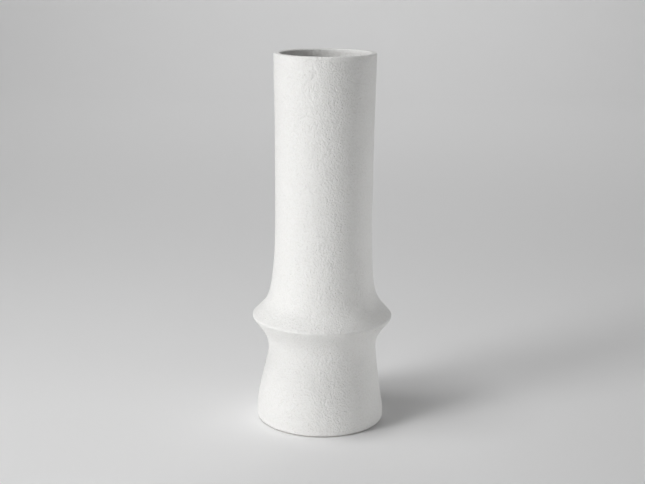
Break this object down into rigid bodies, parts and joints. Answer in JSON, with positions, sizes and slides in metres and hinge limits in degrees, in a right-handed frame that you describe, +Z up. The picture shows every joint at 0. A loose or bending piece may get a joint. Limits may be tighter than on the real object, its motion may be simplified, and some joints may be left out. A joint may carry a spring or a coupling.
{
  "type": "ceramic bud vase",
  "caption": "Tall white stoneware vase: straight open tube above a sharp ring, a narrow waist and a flared foot on felt pads.",
  "frame": {"origin": "on the vase's axis, on the surface that its felt pads stand on", "axes": "+Z up along the vase's axis, out of its mouth; X and Y are level and interchangeable"},
  "size_m": [0.1134, 0.1134, 0.3],
  "materials": {
    "bare_stoneware": "matte",
    "outer_glaze": "satin",
    "liner_glaze": "satin",
    "felt": "matte"
  },
  "bodies": {
    "root": {"stoneware_body": "bare_stoneware", "outer_glaze": "outer_glaze", "liner_glaze": "liner_glaze", "foot_pad_1": "felt", "foot_pad_2": "felt", "foot_pad_3": "felt", "foot_pad_4": "felt"}
  },
  "joints": []
}
